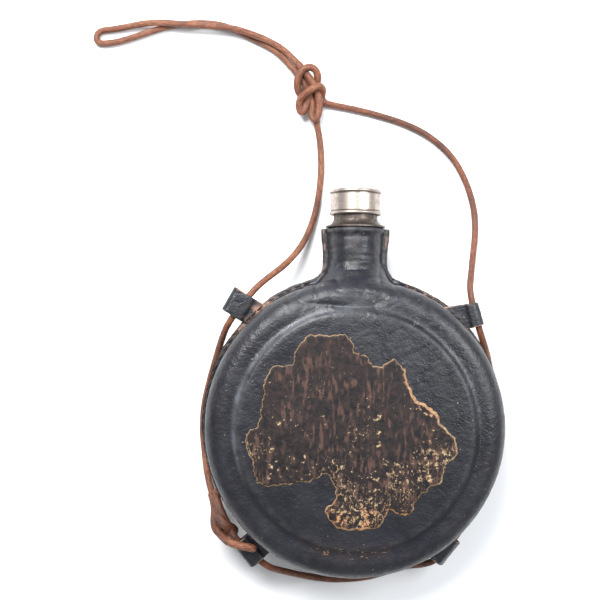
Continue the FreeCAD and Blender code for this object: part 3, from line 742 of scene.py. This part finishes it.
# Soft round spots: x, y, radius, strength.
SCUFFS = (
    (-58, 46, 1.8, 0.9), (-67, -48, 2.2, 0.8), (-30, -61.5, 2.6, 0.6), (-21, -64.6, 4.2, 0.8),
    (-16, -67.6, 3.0, 0.9), (-8, -66.2, 5.0, 0.9), (-3, -69.0, 3.0, 0.7), (5, -67.0, 5.2, 0.85),
    (13, -67.2, 3.4, 0.8), (17, -64.2, 3.6, 0.8), (25, -62.8, 3.0, 0.6),
)
TORN = ((-55.5, 64.5, 3.4, 1.0), (-62, 57, 3.8, 1.0), (-50, 70, 3.0, 0.7))
CREST_R = 67.0           # the step of the raised disc
NECK_Y = 88.0            # the sleeve round the neck starts here
BEAD_Y, GROOVE_Y = 111.0, 107.6
DISC_FACE_Z = 40.0
TRIM_INSET = 1.55        # the front flange is cut back to here, and its edge shows raw
TRIM_DEPTH = 0.75
COVER_VOXEL = 0.75
STRAP_VOXEL = 0.34


def outline_distance(points):
    """How far inside the plan outline of the flange a point lies."""
    heights, halves = np.array(WING_HALF).T
    to_circle = FLANGE_R - np.hypot(points[:, 0], points[:, 1])
    to_wing = np.interp(points[:, 1], heights, halves) - np.abs(points[:, 0])
    on_wing = points[:, 1] > WING_START_Y
    return np.where(on_wing, np.maximum(to_wing, to_circle), to_circle)


def outward_facing(points, normals):
    """1 on the outside of the leather, 0 on its hidden inside."""
    on_neck = points[:, 1] > NECK_Y
    away = np.stack([points[:, 0], np.where(on_neck, 0, points[:, 1]),
                     (points[:, 2] - SEAM_Z) * np.where(on_neck, 1, 3)], axis=1)
    away /= np.linalg.norm(away, axis=1)[:, None] + 1e-9
    return step(np.sum(away * normals, axis=1), -0.1, 0.25)


def leather_relief(points):
    """Raised and sunken places of the old leather, in millimetres."""
    x, y, z = points.T
    # slow waves of the whole shell, then small lumps
    relief = 0.32 * noise(points, 38.0, 1) + 0.14 * noise(points, 15.0, 2)
    relief += 0.055 * noise(points, 3.8, 3) + 0.03 * noise(points, 2.1, 12)
    # slanting ripples at the upper right
    turned = np.stack([x * 0.82 + y * 0.57, -x * 0.57 + y * 0.82, z], axis=1)
    shoulder = step(np.hypot(x - 30, y - 50), 44, 16) * step(np.hypot(x, y), 84, 76)
    relief -= 0.13 * shoulder * crease(turned, (15.0, 4.6, 30.0), 4, 3.0)
    relief -= (0.05 + 0.19 * shoulder) * crease(turned, (7.0, 2.6, 20.0), 11, 1.6)
    # folds where the neck meets the body
    base = step(y, 58, 72) * step(y, 108, 92) * step(np.abs(x), 48, 30)
    relief -= 0.80 * base * crease(points, (9.0, 20.0, 30.0), 5, 3.5)
    relief -= 0.60 * base * crease(points, (24.0, 6.5, 30.0), 6, 4.0)
    # wrinkles along and across the neck
    neck = step(y, 90, 100)
    relief -= 0.10 * neck * crease(points, (5.0, 14.0, 6.0), 7, 3.0)
    relief -= 0.09 * neck * crease(points, (7.0, 2.2, 7.0), 14, 2.5)
    relief -= 0.30 * np.exp(-((y - 95.0) / 5.0) ** 2) * crease(points, (8.0, 1.9, 6.0), 15, 2.0)
    # the rolled end of the sleeve and the groove below it
    off_flange = step(np.abs(z - SEAM_Z), 1.6, 3.0) * (y > 100)
    relief += off_flange * 0.80 * np.exp(-((y - BEAD_Y) / 1.2) ** 2)
    relief -= off_flange * 0.45 * np.exp(-((y - GROOVE_Y) / 1.3) ** 2)
    return relief


def disc_crest_highlight(points):
    """Painted highlight on the step of the raised disc, strongest on its upper left where the key
    light falls.
    """
    x, y, z = points.T
    bearing = np.degrees(np.arctan2(y, x)) % 360
    lit = step(bearing, 70, 115) * step(bearing, 215, 175) + 0.30 * step(bearing, 60, 40)
    width = 1.3 + 0.6 * noise(points, 16.0, 41)
    ring = np.exp(-((np.hypot(x, y) - CREST_R) / width) ** 2)
    broken = 0.55 + 0.45 * step(noise(points, 9.0, 42), -0.4, 0.3)
    return np.clip(ring * lit * broken * (z > DISC_FACE_Z), 0, 1)


def leather_cover(node, name):
    """One half of the cover, with its waves, its uneven flange, its rubbed and torn places and its
    painted highlights.
    """
    piece = remeshed(node, name, COVER_VOXEL)
    mesh = piece.data
    average = neighbour_average(mesh)
    points = relax(read_points(mesh), average, 0.5, 3)
    x, y, z = points.T
    joint = step(y, 60, 68) * step(y, 108, 102) * step(np.abs(x), 46, 38)
    joint *= step(np.abs(z - SEAM_Z), 2.2, 4.5)
    points = relax(points, average, (0.6 * joint)[:, None], 26)
    write_points(mesh, points)
    normals = read_normals(mesh)
    outside = outward_facing(points, normals)
    inset = outline_distance(points)
    lip = step(inset, 3.6, 1.2) * step(np.abs(points[:, 2] - SEAM_Z), 3.0, 1.6)
    shift = normals * (outside * leather_relief(points))[:, None]
    radial = points[:, :2] / (np.linalg.norm(points[:, :2], axis=1)[:, None] + 1e-9)
    ragged = 0.50 * noise(points, 13.0, 8) + 0.22 * noise(points, 3.5, 9)
    points = points + shift * (1 - 0.7 * lip)[:, None]
    points[:, :2] += radial * (lip * ragged)[:, None]
    away = np.sign(points[:, 2] - SEAM_Z)
    points[:, 2] += away * lip * 0.28 * np.maximum(noise(points, 17.0, 10), -0.2)
    on_front = points[:, 2] > SEAM_Z + 0.6
    points[:, 2] -= on_front * TRIM_DEPTH * step(inset + 0.35 * ragged, 1.75, 1.25) * lip
    points[:, 2] = np.maximum(points[:, 2], 0.0)
    write_points(mesh, points)
    shoulders = step(points[:, 1], 20, 55)
    patchy = step(noise(points, 11.0, 21), -0.35, 0.25)
    cut_edge = np.exp(-((inset + 0.35 * ragged - TRIM_INSET) / 0.42) ** 2) * on_front
    rim_edge = 0.35 * step(inset, 0.9, 0.2)
    raw = (cut_edge + rim_edge) * (0.20 + 0.80 * patchy) * (0.15 + 0.85 * shoulders)
    raw += spots(points, TORN) * step(inset, 4.5, 2.5)
    raw *= step(np.abs(points[:, 2] - SEAM_Z), 4.0, 1.6)
    # painted sheen: a lighter strip down the top of the neck, added to the rubbed edges
    neck_sheen = step(np.abs(points[:, 0] + 2), 6.0, 1.5) * step(points[:, 1], 88, 94)
    neck_sheen *= step(points[:, 2], 36, 40)
    add_attribute(mesh, "wear_and_sheen", np.clip(convexity(mesh, average, 3) * 0.7 + 0.80 * neck_sheen, 0, 1))
    # painted highlight on the disc's step
    add_attribute(mesh, "crest_highlight", disc_crest_highlight(points))
    add_attribute(mesh, "raw", np.clip(raw, 0, 1))
    front = step(points[:, 2], 30, 38)
    add_attribute(mesh, "scuff", np.clip(spots(points, SCUFFS) * front, 0, 1))
    return finish_piece(piece, LEATHER, "black_leather", node)


front_leather = leather_cover("cover_front", "front_leather")
leather_cover("cover_back", "back_leather")


# ---------------------------------------------------------------- strap loops
def strap_loop(node, name, seed):
    piece = remeshed(node, name, STRAP_VOXEL)
    mesh = piece.data
    average = neighbour_average(mesh)
    points = relax(read_points(mesh), average, 0.5, 9)
    write_points(mesh, points)
    worn = convexity(mesh, average, 2)
    relief = 0.16 * noise(points, 7.0, seed) + 0.07 * noise(points, 2.6, seed + 1)
    relief -= 0.14 * crease(points, 6.0, seed + 2, 5.0)
    points = points + read_normals(mesh) * relief[:, None]
    write_points(mesh, points)
    patchy = step(noise(points, 5.0, seed + 3), -0.5, 0.3)
    add_attribute(mesh, "wear_and_sheen", np.clip(worn * 0.8, 0, 1))
    torn = spots(points, TORN) * step(noise(points, 2.4, seed + 5), -0.25, 0.15)
    add_attribute(mesh, "raw", np.clip(step(worn, 0.45, 0.9) * patchy + torn, 0, 1))
    add_attribute(mesh, "scuff", 0.3 * step(noise(points, 4.0, seed + 4), 0.35, 0.7))
    add_attribute(mesh, "crest_highlight", np.zeros(len(points)))
    return finish_piece(piece, LEATHER, "black_leather", node)


for number, corner in enumerate(("upper_left", "upper_right", "lower_left", "lower_right")):
    strap_loop(f"loop_{corner}", f"strap_{corner}", 30 + 10 * number)

# -------------------------------------------------------------------- stitches
STITCH_LINE_R = 85.8
STITCH_PITCH = 5.6
STITCH_REACH = 1.75
FLANGE_PLY = 1.3
LOOP_ANGLES = (132.4, 46.5, -127.7, -54.2)
STRAP_TOP = 2.55         # a strap's outer face, measured from the seam
THREAD_R = 0.36
STITCH_RISE, STITCH_DIP = 0.42, 0.72
NECK_ANGLE, NECK_GAP, LOOP_GAP = 90, 18.0, 8.0
LOOP_STITCH_STEP = 3.0


def stitch_line(angle_deg, surface_z, side, lean):
    """One stitch that rises out of the leather and dips back into it."""
    angle = math.radians(angle_deg)
    outward = np.array((math.cos(angle), math.sin(angle), 0))
    along = np.array((-math.sin(angle), math.cos(angle), 0))
    line = []
    for part in np.linspace(-1, 1, 9):
        height = surface_z + side * (STITCH_RISE - STITCH_DIP * part * part)
        place = outward * (STITCH_LINE_R + lean * part) + along * STITCH_REACH * part
        line.append((place[0], place[1], height))
    return line


def clear_of(angle, centre, half):
    """True where an angle is more than half away from a centre, in degrees."""
    return abs((angle - centre + 180) % 360 - 180) > half


def seam_angles():
    count = int(2 * math.pi * STITCH_LINE_R / STITCH_PITCH)
    angles = [360.0 * i / count for i in range(count)]
    return [a for a in angles if clear_of(a, NECK_ANGLE, NECK_GAP)
            and all(clear_of(a, centre, LOOP_GAP) for centre in LOOP_ANGLES)]


def stitch_piece(name, node, places):
    """places: (angle, surface height, side) of each stitch."""
    probe = np.array([(angle, 0, 0) for angle, _, _ in places], dtype=float)
    leans = 0.28 * noise(probe, 3.1, 55)
    lines = [stitch_line(a, z, side, lean) for (a, z, side), lean in zip(places, leans)]
    piece, _ = tube_piece(name, lines, THREAD_R, around=8, spacing=0.45, seed=60, rough=0.08)
    finish_piece(piece, THREAD, "thread", node)


stitch_piece("front_seam_thread", "seam_stitches_front",
             [(a, SEAM_Z + FLANGE_PLY, 1) for a in seam_angles()])
stitch_piece("back_seam_thread", "seam_stitches_back",
             [(a, SEAM_Z - FLANGE_PLY, -1) for a in seam_angles()])
stitch_piece("loop_thread", "loop_stitches",
             [(centre + turn, SEAM_Z + side * STRAP_TOP, side)
              for centre in LOOP_ANGLES
              for turn in (-LOOP_STITCH_STEP, 0.0, LOOP_STITCH_STEP) for side in (1, -1)])

# ----------------------------------------------------------------- front label
LABEL_OUTLINE = [
    (-25.8, 52.7), (-14.9, 52.4), (-6.9, 53.1), (-2.5, 49.8), (-1.5, 43.2), (4.8, 41.0),
    (8.5, 35.5), (16.5, 36.6), (20.1, 40.3), (26.7, 33.0), (27.4, 27.2), (32.6, 16.9),
    (36.9, 15.5), (44.2, 10.4), (45.7, 5.3), (49.3, 2.3), (54.5, -3.5), (54.9, -10.8),
    (53.0, -15.2), (49.3, -18.1), (47.9, -23.9), (46.4, -29.1), (41.3, -29.8), (35.5, -34.9),
    (32.6, -38.5), (31.1, -44.4), (26.7, -46.6), (23.8, -44.4), (18.7, -42.2), (16.5, -47.3),
    (12.1, -53.1), (6.3, -53.9), (-1.0, -53.9), (-9.1, -53.1), (-14.2, -48.8), (-16.4, -43.7),
    (-9.8, -37.1), (-11.2, -31.2), (-14.9, -23.9), (-18.5, -23.9), (-24.4, -27.6),
    (-33.1, -28.3), (-40.4, -29.8), (-47.7, -30.5), (-53.6, -29.1), (-56.2, -23.2),
    (-56.5, -16.6), (-60.2, -7.9), (-60.2, -1.3), (-53.6, 1.6), (-52.1, 9.6), (-51.0, 18.4),
    (-50.4, 27.2), (-46.3, 34.5), (-37.5, 35.9), (-34.6, 35.9), (-34.6, 43.2), (-30.2, 48.3),
]
# Spots of gold, and spots where the torn edge shows it wider: x, y, radius, strength.
GILT = (
    (4, -49, 8, 0.52), (-9, -47, 6, 0.52), (13, -44, 6, 0.40), (3, -37, 6, 0.34),
    (26, -42, 6, 0.42), (44, -8, 6, 0.35), (50, -14, 5, 0.4), (40, 10, 5, 0.45),
    (34, 14, 4, 0.4), (28, 24, 4, 0.45), (11, 16, 2.0, 0.6), (12, 8, 2.2, 0.7), (13, 0, 2.4, 0.7),
    (14, -6, 2.6, 0.5), (-44, -20, 8, 0.38), (-28, -18, 8, 0.36), (-40, 4, 5, 0.36),
    (-48, -6, 6, 0.34), (-4, -24, 12, 0.36), (18, -20, 12, 0.32), (38, -22, 8, 0.38),
    (-36, 22, 4, 0.3),
)
THICK_EDGE = (
    (27, 31, 5, 0.9), (32, 19, 6, 1.1), (41, 12, 6, 1.2), (48, 3, 6, 0.8), (54, -8, 5, 0.5),
    (4, -52, 7, 0.8), (-15, -46, 5, 0.5), (46, -27, 5, 0.4),
)
ORANGE_SPOTS = ((30, 24, 9, 0.6), (40, 13, 7, 0.6))
LABEL_LIFT = 0.10
LABEL_T = 0.22
LABEL_PITCH = 1.5
TEAR_PITCH = 0.9
GRID_HALF = 62
GRID_CLEAR = 0.6         # grid points stay this far inside the torn edge
ABOVE_ALL = 0.09         # in metres, higher than the flask


def torn_outline():
    """The label's outline in short, uneven pieces, as torn paper has."""
    corners = np.array(LABEL_OUTLINE)
    places = []
    for start, end in zip(corners, np.roll(corners, -1, axis=0)):
        count = max(int(np.linalg.norm(end - start) / TEAR_PITCH), 1)
        places += [start + (end - start) * k / count for k in range(count)]
    places = np.array(places)
    probe = np.column_stack([places, np.zeros(len(places))])
    across = np.stack([noise(probe, 2.6, 71), noise(probe, 2.6, 72)], axis=1)
    fine = np.stack([noise(probe, 1.1, 73), noise(probe, 1.1, 74)], axis=1)
    return places + 0.85 * across + 0.40 * fine


def edge_distance(points, outline):
    """Shortest way from each point to the closed outline."""
    best = np.full(len(points), np.inf)
    for start, end in zip(outline, np.roll(outline, -1, axis=0)):
        run = end - start
        part = np.clip(((points - start) @ run) / (run @ run), 0, 1)
        best = np.minimum(best, np.linalg.norm(points - start - part[:, None] * run, axis=1))
    return best


def inside(points, outline):
    """True for each point that lies within the closed outline."""
    crossings = np.zeros(len(points), dtype=int)
    x, y = points.T
    for (ax, ay), (bx, by) in zip(outline, np.roll(outline, -1, axis=0)):
        spans = (ay > y) != (by > y)
        at = ax + (y - ay) * (bx - ax) / (by - ay if by != ay else 1e-9)
        crossings += spans & (x < at)
    return crossings % 2 == 1


def label_piece():
    """The worn sheet, laid on the front cover's own surface."""
    outline = torn_outline()
    side = np.arange(-GRID_HALF, GRID_HALF, LABEL_PITCH)
    grid = np.array([(x, y) for y in side for x in side])
    probe = np.column_stack([grid, np.zeros(len(grid))])
    grid = grid + 0.5 * np.stack([noise(probe, 0.7, 75), noise(probe, 0.7, 76)], axis=1)
    grid = grid[inside(grid, outline)]
    grid = grid[edge_distance(grid, outline) > GRID_CLEAR]
    flat = [Vector(p) for p in outline.tolist() + grid.tolist()]
    ring = list(range(len(outline)))
    loop = [(k, (k + 1) % len(ring)) for k in ring]
    corners, _, faces, *_ = delaunay_2d_cdt(flat, loop, [ring], 1, 1e-5)
    plan = np.array([tuple(c) for c in corners])
    graph = bpy.context.evaluated_depsgraph_get()
    ground = BVHTree.FromObject(front_leather, graph)
    down = Vector((0, 0, -1))
    starts = [Vector((x * MM, y * MM, ABOVE_ALL)) for x, y in plan]
    heights = np.array([ground.ray_cast(start, down)[0].z / MM for start in starts])
    rim = edge_distance(plan, outline)
    probe = np.column_stack([plan, np.zeros(len(plan))])
    curl = 0.35 * np.exp(-rim / 1.2) * np.maximum(noise(probe, 6.0, 77), 0)
    cockle = 0.06 * noise(probe, 5.0, 78)
    points = np.column_stack([plan, heights + LABEL_LIFT + curl + cockle])
    piece = mesh_piece("worn_label", points, faces)
    add_attribute(piece.data, "rim", rim)
    add_attribute(piece.data, "gilt", np.clip(spots(points, GILT), 0, 1))
    add_attribute(piece.data, "thick", spots(points, THICK_EDGE) + 0.25 * noise(probe, 8.0, 79))
    orange = step(plan[:, 1], -30, -42) * step(noise(probe, 7.0, 81), -0.5, 0.2)
    orange = np.maximum(orange, spots(probe, ORANGE_SPOTS))
    add_attribute(piece.data, "orange", 0.85 * np.clip(orange, 0, 1))
    worn = 0.35 + 0.65 * step(plan[:, 1], 22, -18)
    add_attribute(piece.data, "worn", worn * step(noise(probe, 12.0, 80), -0.6, 0.4))
    solid = piece.modifiers.new("thickness", "SOLIDIFY")
    solid.thickness = LABEL_T * MM
    solid.offset = 0
    return finish_piece(piece, LABEL, "label", "front_label")


label_piece()

# --------------------------------------------------- metal, glass and cork parts
FINISHES = {
    # the cap's two bead lines get bands of painted shade with some grime
    "screw_cap": metal_material(
        "cap_metal", (0.545, 0.475, 0.425), (0.36, 0.295, 0.255), 0.34, 0.46, 1.0, (122.4, 132.5)),
    "neck_collar": metal_material(
        "collar_metal", (0.150, 0.122, 0.105), (0.060, 0.047, 0.040), 0.42, 0.60, 0.85),
    "glass_bottle": glass_material(),
    "cork_seal": cork_material(),
}
for node, material in FINISHES.items():
    for holder in NODES[node].material_slots:
        holder.material = material


# ----------------------------------------------------------------------- floor
FLOOR_HALF = 1600.0
FLOOR_DROP = 0.0001      # in metres, so that the floor and the flask's back don't meet
FLOOR_DARK, FLOOR_PALE = (0.88, 0.88, 0.88), (0.92, 0.92, 0.92)


def make_floor():
    half = FLOOR_HALF
    floor = mesh_piece("floor", [(-half, -half, 0), (half, -half, 0), (half, half, 0),
                                 (-half, half, 0)], [(0, 1, 2, 3)])
    material, tree = new_tree("floor")
    cover = cloud(tree, object_coords(tree), 3.0, 2.0)
    colour = mix(tree, cover, FLOOR_DARK, FLOOR_PALE)
    surface(tree, Base_Color=colour, Roughness=0.9)
    floor.data.materials.append(material)
    floor.location.z = -FLOOR_DROP


make_floor()
